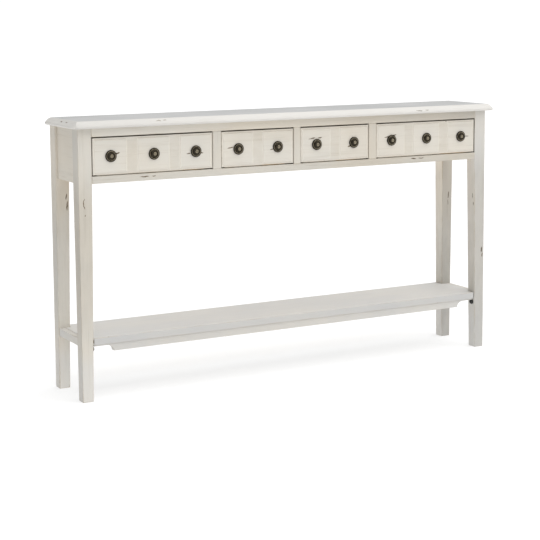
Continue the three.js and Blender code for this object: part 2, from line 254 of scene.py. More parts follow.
def painted(name, axis, chips=(), stops=None, gap=None, neutral=0.0, top=False, faces=(),
            stain_and_shade=GAP_STAIN_AND_SHADE, foot=None):
    """Brushed cream paint over wood, rubbed thin at the edges, with a brown glaze and painted shade in the
    recesses.
    stops are its tone along its axis, painted light and shade along the legs, rails and top, and faces are
    (axis, sign, gain) for faces in another tone, painted light and shade.
    Inside the drawer openings, what lies deeper than gap has the colour of the brown stain given, which also
    paints the shade in the gaps.
    neutral, up to 1, turns the paint greyer, and foot is a height below which it turns greyer.
    top is the grey satin paint of the table top, darker than its paler rim partly as painted shade."""
    s = Shader(name)
    clouds = s.noise(5.0, 3.0, stretched(axis, 0.5, 1.0))
    brush = s.noise(60.0, 5.0, stretched(axis, 0.06, 1.0), 0.6)
    grain = s.noise(260.0, 4.0, stretched(axis, 0.035, 1.0), 0.6, shift=(0.3, 0.1, 0.7))
    ragged = s.noise(38.0, 5.0, stretched(axis, 0.35, 1.0), 0.65, shift=(2.0, 5.0, 1.0))
    if top:
        # the flat top's grey, partly painted shade, and the paler moulding along the rim
        colour = s.mix(s.ramp(clouds, 0.35, 0.65), TOP_SHADED_GREY, TOP_SHADED_PALE)
        colour = s.mix(s.ramp(brush, 0.5, 0.8, 0.0, 0.5), colour, TOP_STREAK)
        colour = s.mix(s.attribute("rim"), colour, MOULDING)
    else:
        colour = s.mix(s.ramp(clouds, 0.35, 0.62), CREAM, CREAM_COOL)
        warm = s.noise(3.2, 2.0, roughness=0.5, shift=(4.0, 1.0, 2.0))
        colour = s.mix(s.ramp(warm, 0.45, 0.7, 0.0, 0.55 * (1 - neutral)), colour, CREAM_WARM)
        greyer = s.mix(s.ramp(clouds, 0.35, 0.62), NEUTRAL, NEUTRAL_COOL)
        colour = s.mix(neutral, colour, greyer)
        if foot:
            fading = s.math("MULTIPLY", s.between("Z", -1.0, foot, FOOT_SOFT), FOOT_GREY)
            colour = s.mix(fading, colour, greyer)
        colour = s.mix(s.ramp(brush, 0.5, 0.85, 0.0, 0.28 * (1 - neutral)), colour, GLAZE)
        # painted highlight where a drawer front carries it
        colour = s.mix(s.attribute("painted_highlight"), colour, HIGHLIGHT_CREAM)
    colour = s.mix(s.ramp(grain, 0.55, 0.8, 0.0, 0.25 * (1 - 0.5 * neutral)), colour, GLAZE)
    # painted light and shade along the axis, a little uneven
    if stops:
        uneven = s.ramp(ragged, 0.3, 0.7, 0.8, 1.0)
        colour = s.mix(uneven, colour, s.along(axis, stops), "MULTIPLY")
    # painted light and shade on the faces that look along the given axes
    for face in faces:
        colour = s.mix(1.0, colour, s.facing(*face), "MULTIPLY")

    # glaze and painted shade in the recesses of the drawer fronts
    glaze_and_shade = s.math("MULTIPLY", s.attribute("recess_glaze_and_shade"), s.ramp(ragged, 0.3, 0.6, 0.25, 0.8))
    colour = s.mix(glaze_and_shade, colour, GLAZE)

    edge = s.attribute("wear")
    rub = s.math("ADD", s.math("MULTIPLY", edge, 0.4), s.math("MULTIPLY", ragged, 0.6))
    thin = s.ramp(rub, 0.62, 0.82, 0.0, 0.5)
    through = s.ramp(rub, 0.79, 0.83)
    colour = s.mix(thin, colour, UNDERCOAT)
    colour = s.mix(through, colour, BARE_BROWN)
    # brown stain deep in the drawer openings, which also paints the shade in the gaps round the drawers
    if gap is not None:
        reach = HALF_WIDTH - LEG_TOP
        sunk = s.between("Y", FRONT + gap + STAIN_AND_SHADE_FADE, FRONT + LEG_TOP, STAIN_AND_SHADE_FADE)
        sunk = s.math("MULTIPLY", sunk, s.between("Z", OPENING[0], OPENING[1], OPENING_FADE))
        sunk = s.math("MULTIPLY", sunk, s.between("X", -reach, reach, OPENING_FADE))
        colour = s.mix(s.math("MULTIPLY", sunk, s.ramp(ragged, 0.3, 0.6, 0.8, 1.0)), colour, stain_and_shade)

    height = s.math("ADD", s.math("MULTIPLY", brush, 0.35), s.math("MULTIPLY", grain, 0.25))
    height = s.math("SUBTRACT", s.math("ADD", height, 0.4), s.math("MULTIPLY", through, 0.15))
    roughness = s.ramp(brush, 0.3, 0.7, 0.42 if top else 0.5, 0.52 if top else 0.62)
    if chips:
        chipped = chip_mask(s, chips)
        dark, light = (CHIP_GREY, CHIP_PALE) if top else (BARE_BROWN, CHIP_BROWN)
        tone = s.mix(s.ramp(grain, 0.4, 0.6), dark, light)
        colour = s.mix(chipped, colour, tone)
        height = s.math("SUBTRACT", height, s.math("MULTIPLY", chipped, 0.35))
        roughness = s.math("ADD", roughness, s.math("MULTIPLY", chipped, 0.3))
    s.bump(height, 0.35, 0.8 * MM)
    return s.finish(Base_Color=colour, Roughness=roughness, IOR=1.46)


def pine(name, axis):
    """Bare pale softwood with growth rings along an axis and a few dark streaks."""
    s = Shader(name)
    bend = s.noise(4.0, 2.0, stretched(axis, 0.4, 1.0))
    lines = s.noise(90.0, 3.0, stretched(axis, 0.02, 1.0), 0.5)
    pores = s.noise(500.0, 3.0, stretched(axis, 0.04, 1.0), 0.6)
    colour = s.mix(s.ramp(bend, 0.3, 0.7), srgb(222, 197, 152), srgb(208, 178, 130))
    colour = s.mix(s.ramp(lines, 0.5, 0.66, 0.0, 0.7), colour, srgb(178, 140, 90))
    colour = s.mix(s.ramp(pores, 0.55, 0.75, 0.0, 0.35), colour, srgb(150, 115, 74))
    height = s.math("ADD", s.math("MULTIPLY", lines, 0.5), s.math("MULTIPLY", pores, 0.4))
    s.bump(height, 0.3, 0.5 * MM)
    return s.finish(Base_Color=colour, Roughness=s.ramp(pores, 0.3, 0.7, 0.6, 0.78), IOR=1.45)


def bronze():
    """Dark antique bronze, rubbed lighter on its raised rings and boss, which also paints their highlights.
    """
    s = Shader("antique_bronze")
    patches = s.noise(240.0, 4.0)
    specks = s.noise(1300.0, 3.0)
    colour = s.mix(s.ramp(patches, 0.35, 0.65), srgb(14, 11, 5), srgb(25, 20, 11))
    # rubbed lighter where worn, which also paints the highlights on the raised rings and boss
    rub = s.math("MULTIPLY", s.attribute("wear"), s.ramp(patches, 0.3, 0.6, 0.6, 1.0))
    colour = s.mix(rub, colour, srgb(186, 174, 150))
    colour = s.mix(s.ramp(specks, 0.62, 0.75, 0.0, 0.5), colour, srgb(14, 11, 8))
    s.bump(s.math("ADD", s.math("MULTIPLY", patches, 0.5), s.math("MULTIPLY", specks, 0.4)), 0.35, 0.25 * MM)
    rough = s.ramp(patches, 0.3, 0.7, 0.28, 0.46)
    return s.finish(Base_Color=colour, Roughness=rough, Metallic=0.85, Specular_IOR_Level=0.12)


def black_steel():
    """Black lacquer over steel, with a faint orange-peel and dusty patches."""
    s = Shader("black_lacquered_steel")
    peel = s.noise(900.0, 2.0)
    dust = s.noise(160.0, 4.0)
    colour = s.mix(s.ramp(dust, 0.45, 0.75), srgb(24, 24, 25), srgb(48, 46, 44))
    colour = s.mix(s.math("MULTIPLY", s.attribute("wear"), 0.35), colour, srgb(96, 94, 92))
    s.bump(peel, 0.15, 0.2 * MM)
    return s.finish(Base_Color=colour, Roughness=s.ramp(dust, 0.3, 0.7, 0.34, 0.55), Metallic=0.4)


# ---------------------------------------------------------------- mesh building

def in_scene(name, data):
    """A new object in the scene."""
    added = bpy.data.objects.new(name, data)
    bpy.context.scene.collection.objects.link(added)
    return added


def stand_in(name, mesh, material, *nodes):
    """Puts a mesh in the scene in place of CAD nodes, in the same body and with the given material."""
    piece = in_scene(name, mesh)
    piece.data.materials.append(material)
    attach(piece, node_body[nodes[0]])
    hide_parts(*nodes)
    return piece


def skin(name, loops, layers=("wear",)):
    """A closed mesh through loops of equal length. A point is (x, y, z, *values of the layers)."""
    shape = bmesh.new()
    handles = [shape.verts.layers.float.new(layer) for layer in layers]
    rows = []
    for loop in loops:
        row = []
        for x, y, z, *values in loop:
            vert = shape.verts.new((x, y, z))
            for handle, value in zip(handles, values):
                vert[handle] = value
            row.append(vert)
        rows.append(row)
    count = len(rows[0])
    for below, above in zip(rows, rows[1:]):
        for i in range(count):
            j = (i + 1) % count
            shape.faces.new((below[i], below[j], above[j], above[i]))
    shape.faces.new(rows[0][::-1])
    shape.faces.new(rows[-1])
    return to_mesh(name, shape)


def to_mesh(name, shape):
    """The finished mesh of a shape, with its faces turned outwards."""
    bmesh.ops.recalc_face_normals(shape, faces=shape.faces)
    for face in shape.faces:
        face.smooth = True
    mesh = bpy.data.meshes.new(name)
    shape.to_mesh(mesh)
    shape.free()
    return mesh


def soften(piece):
    """Keeps flat faces flat while the rounded edges between them shade smoothly."""
    weighted = piece.modifiers.new("weighted_normals", "WEIGHTED_NORMAL")
    weighted.weight = 80
    weighted.keep_sharp = True


def rounded_rectangle(u, v, radii, skirt, corner_wear, inner_wear):
    """Points anticlockwise round a rectangle: an arc at each corner, with a point beside each end."""
    points = []
    corners = ((u[1], v[0], -90), (u[1], v[1], 0), (u[0], v[1], 90), (u[0], v[0], 180))
    for (corner_u, corner_v, start), radius in zip(corners, radii):
        centre_u = corner_u - math.copysign(radius, corner_u - (u[0] + u[1]) / 2)
        centre_v = corner_v - math.copysign(radius, corner_v - (v[0] + v[1]) / 2)
        for step in range(ARC_STEPS + 1):
            angle = math.radians(start + 90 * step / ARC_STEPS)
            along = Vector((-math.sin(angle), math.cos(angle)))
            point = Vector((centre_u + radius * math.cos(angle), centre_v + radius * math.sin(angle)))
            if step == 0:
                points.append((*(point - skirt * along), inner_wear))
            points.append((*point, corner_wear))
            if step == ARC_STEPS:
                points.append((*(point + skirt * along), inner_wear))
    return points


AXES = {"X": (1, 2, 0), "Y": (2, 0, 1), "Z": (0, 1, 2)}  # across, across, along


def to_space(axis, u, v, along):
    """The place in space of a point that is given across and along an axis."""
    place = [0.0, 0.0, 0.0]
    for index, value in zip(AXES[axis], (u, v, along)):
        place[index] = value
    return place


def edge_levels(low, high, radius, skirt):
    """(place, inset, wear) of each loop from one rounded end of a board to the other."""
    arc = [math.radians(90 * step / ARC_STEPS) for step in range(ARC_STEPS + 1)]
    start = [(0.0, radius + skirt, 0.0)]
    start += [(radius * (1 - math.sin(a)), radius * (1 - math.cos(a)), 1.0) for a in reversed(arc)]
    start += [(radius + skirt, 0.0, 0.0)]
    levels = [(low + place, inset, worn) for place, inset, worn in start]
    length = high - low - 2 * (radius + skirt)
    steps = max(1, round(length / WAVE_STEP))
    middle = [(low + radius + skirt + length * i / steps, 0.0, 0.0) for i in range(1, steps)]
    finish = [(high - place, inset, worn) for place, inset, worn in reversed(start)]
    return levels + middle + finish


def board(name, axis, low, high, material, *nodes, taper=None, arris=ARRIS):
    """A board along an axis with softly rounded edges, whose rounding wanders a little.
    taper(place) gives the section there, as ((u0, u1), (v0, v1))."""
    across_u, across_v, along = AXES[axis]
    full = ((low[across_u], high[across_u]), (low[across_v], high[across_v]))
    narrow = min(full[0][1] - full[0][0], full[1][1] - full[1][0])
    skirt = min(SKIRT, SKIRT_SHARE * narrow)
    loops = []
    for place, inset, end_wear in edge_levels(low[along], high[along], arris, skirt):
        u, v = taper(place) if taper else full
        u = (u[0] + inset, u[1] - inset)
        v = (v[0] + inset, v[1] - inset)
        radii = []
        for corner_u, corner_v in ((u[1], v[0]), (u[1], v[1]), (u[0], v[1]), (u[0], v[0])):
            seed = Vector(to_space(axis, corner_u, corner_v, place)) * WAVE_RATE
            radii.append(arris * (1 + WAVE_AMOUNT * noise.noise(seed)))
        section_wear = 0.0 if inset > arris else 1.0
        points = rounded_rectangle(u, v, radii, skirt, section_wear, end_wear)
        loops.append([(*to_space(axis, pu, pv, place), worn) for pu, pv, worn in points])
    soften(stand_in(name, skin(name, loops), material, *nodes))


def inset_outline(outline, distance):
    """An anticlockwise outline moved inwards, each point along the mean of its two edges' normals."""
    moved = []
    count = len(outline)
    for i, point in enumerate(outline):
        before = (point - outline[i - 1]).normalized()
        after = (outline[(i + 1) % count] - point).normalized()
        inwards = Vector((-before.y - after.y, before.x + after.x)).normalized()
        spread = max(MITRE_LIMIT, inwards.dot(Vector((-before.y, before.x))))
        moved.append(point + inwards * distance / spread)
    return moved


def finely(outline):
    """The same outline with its long straight stretches cut into shorter ones."""
    points = []
    for i, point in enumerate(outline):
        following = outline[(i + 1) % len(outline)]
        cuts = max(1, round((following - point).length / WAVE_STEP))
        points += [point.lerp(following, cut / cuts) for cut in range(cuts)]
    return points


def plate(name, axis, outline, ends, material, *nodes, arris=ARRIS, skirt=SKIRT):
    """A flat outline given a thickness along an axis, with rounded edges."""
    loops = []
    for place, inset, worn in edge_levels(ends[0], ends[1], arris, skirt):
        points = inset_outline(outline, inset)
        loops.append([(*to_space(axis, p.x, p.y, place), worn) for p in points])
    soften(stand_in(name, skin(name, loops), material, *nodes))


def arc(centre, radii, start, end, steps=6):
    """Points round an elliptical arc, with angles in degrees."""
    angles = [math.radians(start + (end - start) * i / steps) for i in range(steps + 1)]
    return [Vector((centre[0] + radii[0] * math.cos(a), centre[1] + radii[1] * math.sin(a))) for a in angles]


def turned(name, profile, centre, facing, material, *nodes, around=48):
    """A turned solid. The profile is (radius, height, wear) from its foot to its tip,
    and facing is the direction of its axis."""
    shape = bmesh.new()
    wear = shape.verts.layers.float.new("wear")
    turn = Vector((0, 0, 1)).rotation_difference(Vector(facing)).to_matrix()
    rows = []
    for radius, height, worn in profile:
        row = []
        for i in range(around if radius > 0 else 1):
            angle = math.tau * i / around
            local = Vector((radius * math.cos(angle), radius * math.sin(angle), height))
            vert = shape.verts.new(turn @ local + Vector(centre))
            vert[wear] = worn
            row.append(vert)
        rows.append(row)
    for below, above in zip(rows, rows[1:]):
        for i in range(around):
            j = (i + 1) % around
            corners = [below[i % len(below)], below[j % len(below)]]
            corners += [above[j % len(above)], above[i % len(above)]]
            shape.faces.new(list(dict.fromkeys(corners)))  # a triangle beside a row of one point
    stand_in(name, to_mesh(name, shape), material, *nodes)


def curve_points(start, control, end, steps):
    """Points along a quadratic curve, without its start."""
    points = []
    for i in range(1, steps + 1):
        t = i / steps
        points.append(tuple(
            (1 - t) ** 2 * a + 2 * t * (1 - t) * b + t ** 2 * c for a, b, c in zip(start, control, end)
        ))
    return points


# ---------------------------------------------------------------- the pieces

APRON_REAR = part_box("apron_rear")[1].y / MM    # outer faces of the aprons, in millimetres
APRON_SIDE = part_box("apron_right")[1].x / MM


def chip(x, z, length, height, turn=0.0, y=FRONT / MM, depth=8):
    """A chip on a face towards the front or the back, in millimetres and degrees."""
    half_sizes = (length / 2 * MM, depth * MM, height / 2 * MM)
    return (x * MM, y * MM, z * MM), half_sizes, (0, math.radians(turn), 0)


def spot(centre, half_sizes, turn=0.0):
    """A chip on any face, in millimetres, turned about the X axis by degrees."""
    return [v * MM for v in centre], [v * MM for v in half_sizes], (math.radians(turn), 0, 0)


CHIPS = {  # where the paint has come off
    "drawer_1_front": [chip(-644, 776, 20, 5.2, -12), chip(-399, 762.5, 17, 3.4), chip(-352, 762, 12, 3.8)],
    "drawer_2_front": [chip(-249, 773.5, 26, 4.4, -10), chip(-96, 760.5, 16, 4, -12)],
    "drawer_3_front": [
        chip(56.5, 789, 30, 3.8, -8), chip(87.5, 790.5, 18, 3.6, -8), chip(203, 756, 14, 4.2, -22),
    ],
    "drawer_4_front": [
        chip(357.5, 781, 30, 3.8, -10), chip(386, 785, 18, 4.4, -14), chip(693, 768, 18, 3),
        chip(604, 823, 8, 2.5),
    ],
    "front_bottom_rail": [
        chip(-552, 698, 36, 4.2, -3), chip(-520.5, 698.5, 16, 3), chip(467, 700.5, 24, 4.6, 4),
        chip(497, 700, 26, 3.2),
    ],
    "table_top": [
        chip(-510, 873, 20, 3.4, 0, -126, 14), chip(-489, 873.5, 14, 2.6, 6, -126, 14),
        chip(473, 867, 30, 2.4, 3, -129, 14), chip(506, 868, 15, 3, -6, -129, 14),
        spot((-788, -4, 873.5), (14, 9, 2)), spot((-788, -48, 873.5), (14, 8, 1.8)),
    ],
    "leg_front_left": [
        chip(-757, 636, 3, 14, 24), chip(-758.5, 625, 3, 20, 2), chip(-756, 614, 2.8, 14, -18),
        chip(-754, 588, 3.6, 6),
    ],
    "leg_front_right": [
        chip(764, 356, 6.5, 22, 6), chip(767, 336, 4, 18, 4),
        chip(732, 551, 9, 26, 0, -96, 2.2), chip(732, 524, 9, 16, 0, -100, 2),
    ],
    "apron_rear": [
        chip(-431, 705, 38, 4, 3, APRON_REAR), chip(-404, 707, 18, 3, -4, APRON_REAR),
        chip(286, 782, 26, 3.4, -9, APRON_REAR), chip(602, 704, 30, 4.4, -2, APRON_REAR),
    ],
    "cross_rails": [
        spot((APRON_SIDE, 14, 706), (8, 15, 2), 3), spot((APRON_SIDE, 33, 708), (8, 7, 1.6), -6),
    ],
    "leg_rear_left": [chip(-740, 626, 4, 24, 8, 88), chip(-737.5, 597, 5, 36, 3, 88)],
    "leg_rear_right": [chip(758, 533, 4.8, 30, 6, 88), chip(757, 506, 3.2, 24, -2, 88)],
}
LEG_HEIGHTS = (0.0, 0.1, 0.3, 0.48, 0.62, 0.74, 0.86)  # where a leg has each of its tones of painted shade
LEFT_LEG_SHADE = (1.0, 0.98, 0.80, 0.76, 0.78, 0.93, 0.96)
RIGHT_LEG_SHADE = (0.73, 0.70, 0.70, 0.71, 0.73, 0.92, 0.96)
REAR_RIGHT_LEG_SHADE = (0.66, 0.63, 0.66, 0.74, 0.76, 0.92, 0.96)
LEG_LOOKS = {  # tones of painted shade, gains of painted light and shade on the left and the front faces, and how grey
    "leg_front_left": (LEFT_LEG_SHADE, 0.95, 0.99, 0.1),
    "leg_rear_left": (LEFT_LEG_SHADE, 1.05, 1.1, 0.1),
    "leg_front_right": (RIGHT_LEG_SHADE, 1.3, 1.0, 0.6),
    "leg_rear_right": (REAR_RIGHT_LEG_SHADE, 1.56, 0.96, 0.2),
}


def leg(node):
    """A square leg, tapered on its two inner faces below the aprons."""
    low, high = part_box(node)
    inner_left = low.x > 0
    inner_front = low.y > 0

    def taper(place):
        share = min(max(place, 0) / APRON_BOTTOM, 1)
        width = LEG_FOOT + (LEG_TOP - LEG_FOOT) * share
        x = (high.x - width, high.x) if inner_left else (low.x, low.x + width)
        y = (high.y - width, high.y) if inner_front else (low.y, low.y + width)
        return x, y

    # painted shade along each leg, darkest below the aprons, and painted light and shade on its left and
    # front faces
    painted_shade_tones, left_face_light_and_shade, front_face_light_and_shade, neutral = LEG_LOOKS[node]
    stops = list(zip(LEG_HEIGHTS, painted_shade_tones))
    faces = [("X", -1, left_face_light_and_shade), ("Y", -1, front_face_light_and_shade)]
    material = painted(
        f"paint_{node}", "Z", CHIPS[node], stops, GAP_CREAM, neutral, faces=faces, foot=FOOT_FADE
    )
    board(f"painted_{node}", "Z", low, high, material, node, taper=taper, arris=LEG_ARRIS)


def plain_board(node, axis, material):
    """A painted board that fills the box of its CAD node."""
    low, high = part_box(node)
    board(f"painted_{node}", axis, low, high, material, node)


def table_top():
    """The top, whose edge moulding runs round a low lip and up a soft shoulder on all sides."""
    low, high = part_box("table_top")
    thickness = high.z - low.z
    profile = [(TOP_UNDERCUT, 0.0)]
    profile += curve_points(profile[-1], (0.0, 0.0), (0.0, TOP_LIP), 6)
    profile += curve_points(profile[-1], TOP_SLOPE_PULL, TOP_SHOULDER, 10)
    profile += curve_points(profile[-1], TOP_CROWN_PULL, (TOP_FLAT, thickness), 6)
    levels = [(TOP_UNDERCUT + 3 * SKIRT, 0.0, 0.0, 0.0)]  # inset, height, wear and how much it is rim
    levels += [(inset, rise, 0.3, 1.0) for inset, rise in profile[:-1]]
    levels += [(TOP_FLAT, thickness, 0.8, 0.8), (TOP_FLAT + 1 * MM, thickness, 0.5, 0.25)]
    levels += [(TOP_FLAT + SKIRT, thickness, 0.0, 0.0)]
    loops = []
    for inset, rise, worn, rim in levels:
        u = (low.x + inset, high.x - inset)
        v = (low.y + inset, high.y - inset)
        radius = max(TOP_CORNER - inset, TOP_INNER_CORNER)
        points = rounded_rectangle(u, v, [radius] * 4, SKIRT, min(1.0, worn + 0.2), worn)
        loops.append([(pu, pv, low.z + rise, w, rim) for pu, pv, w in points])
    mesh = skin("painted_table_top", loops, ("wear", "rim"))
    # painted shade darker towards the left end, and painted light on the faces that look left
    painted_shade_tones = [(-0.8, 0.9), (-0.2, 1.0), (0.8, 1.0)]
    material = painted("paint_table_top", "X", CHIPS["table_top"], painted_shade_tones, top=True, faces=[("X", -1, 1.2)])
    soften(stand_in("painted_table_top", mesh, material, "table_top"))


FRONT_LOOKS = {  # wear of the left edge, which also paints the shade of the gap beside it, width of the cream on the sides before the brown stain and painted shade, and how grey
    1: (0.9, 4.5 * MM, 0.05), 2: (1.4, 0.2 * MM, 0.1), 3: (1.15, 0.8 * MM, 0.15), 4: (1.1, 2.5 * MM, 0.2),
}


def drawer_front(number, knobs):
    """A drawer front with one raised panel for each knob, made as a relief over a grid."""
    node = f"drawer_{number}_front"
    low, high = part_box(node)
    width = (high.x - low.x - 2 * BORDER - (knobs - 1) * BAND) / knobs
    starts = [low.x + BORDER + i * (width + BAND) for i in range(knobs)]
    panels = [(start, start + width) for start in starts]
    rise_range = (low.z + BORDER, high.z - BORDER)
    left_edge_wear_and_shade, cream_edge, neutral = FRONT_LOOKS[number]

    def cuts(start, end):
        """Places beside and across the two bevels of a panel."""
        steps = [-7 * MM, -3 * MM, -1.2 * MM]
        steps += [share * PANEL_BEVEL for share in (0.0, 0.25, 0.5, 0.75, 1.0, 1.25, 2.2)]
        return [start + step for step in steps] + [end - step for step in steps]

    def within(places, start, end):
        """The places between two ends, without the ones that would crowd the rounded rim."""
        return [place for place in places if start + 2.5 * FRONT_RIM < place < end - 2.5 * FRONT_RIM]

    def rim(start, end):
        """Places across the rounding at both ends."""
        steps = (0.0, 0.3 * FRONT_RIM, FRONT_RIM, 2.2 * FRONT_RIM)
        return [start + step for step in steps] + [end - step for step in steps]

    columns = rim(low.x, high.x)
    for panel in panels:
        columns += within(cuts(*panel), low.x, high.x)
    columns.sort()
    rows = sorted(rim(low.z, high.z) + within(cuts(*rise_range), low.z, high.z))

    def relief(x, z):
        """Depth behind the panels' faces, wear, glaze and painted shade in the recesses, and painted
        highlight at a point of the front.
        """
        bottom, top = z - rise_range[0], rise_range[1] - z
        left, right = max(((x - a, b - x) for a, b in panels), key=min)
        inside = min(left, right, bottom, top)  # negative in the sunk border and bands
        share = min(max(inside / PANEL_BEVEL, 0), 1)
        depth = PANEL_RISE * (1 - share * share * (3 - 2 * share))
        rim_distance = min(x - low.x, high.x - x, z - low.z, high.z - z)
        drop = max(0.0, 1 - rim_distance / FRONT_RIM)
        depth += FRONT_RIM * (1 - math.sqrt(1 - drop * drop)) if drop < 1 else FRONT_RIM
        worn = max(0.7 * (1 - abs(inside - PANEL_BEVEL) / (0.6 * PANEL_BEVEL)), 0.8 * drop, 0.0)
        # wear along the left edge, which also paints the shade in the gap beside it
        worn = max(worn, left_edge_wear_and_shade * (1 - (x - low.x) / (2.2 * FRONT_RIM)))
        # glaze on the panel bevels, weighted by side as painted shade, most on the top bevel
        shaded = {top: 0.7, left: 0.0, bottom: 0.2, right: 0.3}[inside]
        sunk = min(max(-2 * inside / PANEL_BEVEL, 0.0), 1.0)
        glaze_and_shade = max(shaded * (1 - abs(2 * inside / PANEL_BEVEL)), BAND_GLAZE_AND_SHADE * sunk)
        # painted highlight on the sunk border and the panel bevels, strongest on the left bevels and on the
        # right
        painted_highlight = 0.0
        if inside < PANEL_BEVEL:
            reach = (0.5 if inside == right else 1.4) * BORDER
            near = min(max(1 + inside / reach, 0.0), 1.0)
            painted_highlight = near * {bottom: 0.15, right: 0.45, top: 0.3, left: 0.0}[inside]
            if inside == left and inside > -0.2 * PANEL_BEVEL:
                painted_highlight = 1.0
        return depth, worn, glaze_and_shade, painted_highlight

    shape = bmesh.new()
    wear = shape.verts.layers.float.new("wear")
    recess_glaze_and_shade = shape.verts.layers.float.new("recess_glaze_and_shade")
    painted_highlight_layer = shape.verts.layers.float.new("painted_highlight")
    grid = []
    for z in rows:
        line = []
        for x in columns:
            depth, worn, glaze_and_shade, painted_highlight = relief(x, z)
            vert = shape.verts.new((x, low.y + depth, z))
            vert[wear] = worn
            vert[recess_glaze_and_shade] = glaze_and_shade
            vert[painted_highlight_layer] = painted_highlight
            line.append(vert)
        grid.append(line)
    for below, above in zip(grid, grid[1:]):
        for i in range(len(columns) - 1):
            shape.faces.new((below[i], below[i + 1], above[i + 1], above[i]))
    edge = grid[0][:-1] + [line[-1] for line in grid[:-1]]
    edge += grid[-1][:0:-1] + [line[0] for line in grid[:0:-1]]
    rear = [shape.verts.new((vert.co.x, high.y, vert.co.z)) for vert in edge]
    for i, vert in enumerate(edge):
        j = (i + 1) % len(edge)
        shape.faces.new((vert, edge[j], rear[j], rear[i]))
    shape.faces.new(rear)
    gap = PANEL_RISE + cream_edge
    material = painted(f"paint_{node}", "X", CHIPS[node], gap=gap, neutral=neutral, stain_and_shade=EDGE_STAIN_AND_SHADE)
    soften(stand_in(f"painted_{node}", to_mesh(f"painted_{node}", shape), material, node))


def knob(node, material):
    """A round back plate with a rolled rim and a bead, and a dished button with a boss on a short neck."""
    low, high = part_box(node)
    r = (high.x - low.x) / 2
    h = high.y - low.y
    profile = [(0.0, 0.0, 0.0), (r - 1.2 * MM, 0.0, 0.0)]
    bends = (  # control and end point, as shares of the knob's radius and height, and wear at the end, which rubs it lighter and also paints the highlights on the bead and boss
        ((1.02, 0.26), (0.94, 0.35), 0.0),
        ((0.90, 0.38), (0.87, 0.28), 0.0),
        ((0.82, 0.50), (0.76, 0.42), 1.0),
        ((0.71, 0.36), (0.68, 0.22), 0.8),
        ((0.58, 0.12), (0.47, 0.26), 0.0),
        ((0.46, 0.40), (0.50, 0.49), 0.0),
        ((0.63, 0.56), (0.63, 0.73), 0.0),
        ((0.63, 0.93), (0.54, 0.91), 0.12),
        ((0.42, 0.87), (0.36, 0.76), 0.0),
        ((0.33, 0.74), (0.31, 0.88), 0.5),
        ((0.24, 1.0), (0.0, 1.0), 0.55),
    )
    for (control, control_height), (end, end_height), worn in bends:
        start = profile[-1]
        middle = (r * control, h * control_height, (start[2] + worn) / 2)
        profile += curve_points(start, middle, (r * end, h * end_height, worn), 5)
    centre = ((low.x + high.x) / 2, high.y, (low.z + high.z) / 2)
    turned(f"turned_{node}", profile, centre, (0, -1, 0), material, node)


def shelf():
    """The shelf board, notched round the legs, and its four rails."""
    rail_paint = painted("paint_shelf_rails", "X", neutral=0.7, stops=[(-0.8, 0.90), (0.8, 0.92)])
    end_paint = painted("paint_shelf_end_rails", "Y", neutral=0.6)
    low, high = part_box("shelf_board")
    leg_there = LEG_FOOT + (LEG_TOP - LEG_FOOT) * high.z / APRON_BOTTOM
    notch = HALF_WIDTH - leg_there - SHELF_LEG_GAP
    notch_y = (FRONT + leg_there + SHELF_NOTCH_GAP, REAR - leg_there - SHELF_NOTCH_GAP)
    worn_ends_and_gap_shadow = [  # centre, half sizes and turn
        # painted shadow of the gap where the board meets the front-left leg
        ((-notch, low.y, (low.z + high.z) / 2), (2.4 * MM, 4 * MM, 9 * MM), (0, 0, 0)),
        ((low.x, -30 * MM, high.z), (2 * MM, 26 * MM, 1.6 * MM), (0, 0, 0)),
    ]
    # painted shade on the board's front edge and painted light on its top
    board_paint = painted(
        "paint_shelf_board", "X", worn_ends_and_gap_shadow, neutral=1.0, faces=[("Y", -1, 0.84), ("Z", 1, 1.04)]
    )
    r = SHELF_CORNER
    corner = notch - r
    outline = arc((corner, low.y + r), (r, r), -90, 0)
    outline += [Vector((notch, notch_y[0])), Vector((high.x, notch_y[0]))]
    outline += [Vector((high.x, notch_y[1])), Vector((notch, notch_y[1]))]
    outline += arc((corner, high.y - r), (r, r), 0, 90)
    outline += arc((-corner, high.y - r), (r, r), 90, 180)
    outline += [Vector((-notch, notch_y[1])), Vector((low.x, notch_y[1]))]
    outline += [Vector((low.x, notch_y[0])), Vector((-notch, notch_y[0]))]
    outline += arc((-corner, low.y + r), (r, r), 180, 270)
    outline = finely(outline)
    plate("painted_shelf_board", "Z", outline, (low.z, high.z), board_paint, "shelf_board", skirt=SHELF_SKIRT)

    for node in ("shelf_rail_front", "shelf_rail_rear"):
        low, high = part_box(node)
        strip = high.z - RAIL_STRIP
        shoulder = high.x - RAIL_SHOULDER
        radii = (RAIL_SCOOP, strip - low.z)
        rail = [Vector((-high.x, high.z)), Vector((-high.x, strip))]
        rail += arc((-shoulder, low.z), radii, 90, 0)
        rail += arc((shoulder, low.z), radii, 180, 90)
        rail += [Vector((high.x, strip)), Vector((high.x, high.z))]
        outline = [Vector((point.y, point.x)) for point in finely(rail)][::-1]
        ends = (low.y, high.y)
        plate(f"painted_{node}", "Y", outline, ends, rail_paint, node, arris=RAIL_ARRIS, skirt=RAIL_SKIRT)
    for node in ("shelf_rail_left", "shelf_rail_right"):
        plain_board(node, "Y", end_paint)


